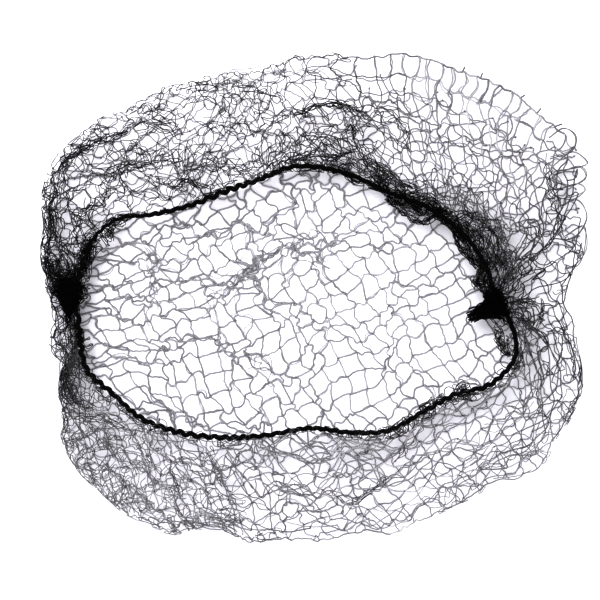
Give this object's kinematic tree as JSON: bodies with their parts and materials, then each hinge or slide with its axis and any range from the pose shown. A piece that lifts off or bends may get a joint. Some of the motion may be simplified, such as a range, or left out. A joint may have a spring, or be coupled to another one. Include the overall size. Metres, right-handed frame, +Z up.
{
  "type": "hairnet",
  "caption": "Elasticated knotted hairnet lying flat: a hollow netted bag folded in all round, its edge gathered on a loop of elastic with two lashed gathers.",
  "frame": {"origin": "middle of the box of the hairnet as it lies, on the surface that it lies on", "axes": "+Z up, out of the open side; +X across the long way, towards the gather with the loose tail"},
  "size_m": [0.1968, 0.1765, 0.0129],
  "materials": {
    "net_thread": "fine black nylon thread, soft sheen",
    "elastic": "black covered round elastic, matt",
    "gather_thread": "black thread, bunched and lashed, matt"
  },
  "bodies": {
    "root": {"net": "net_thread", "elastic_cord": "elastic", "gather_knot_left": "gather_thread", "gather_knot_right": "gather_thread"}
  },
  "joints": []
}
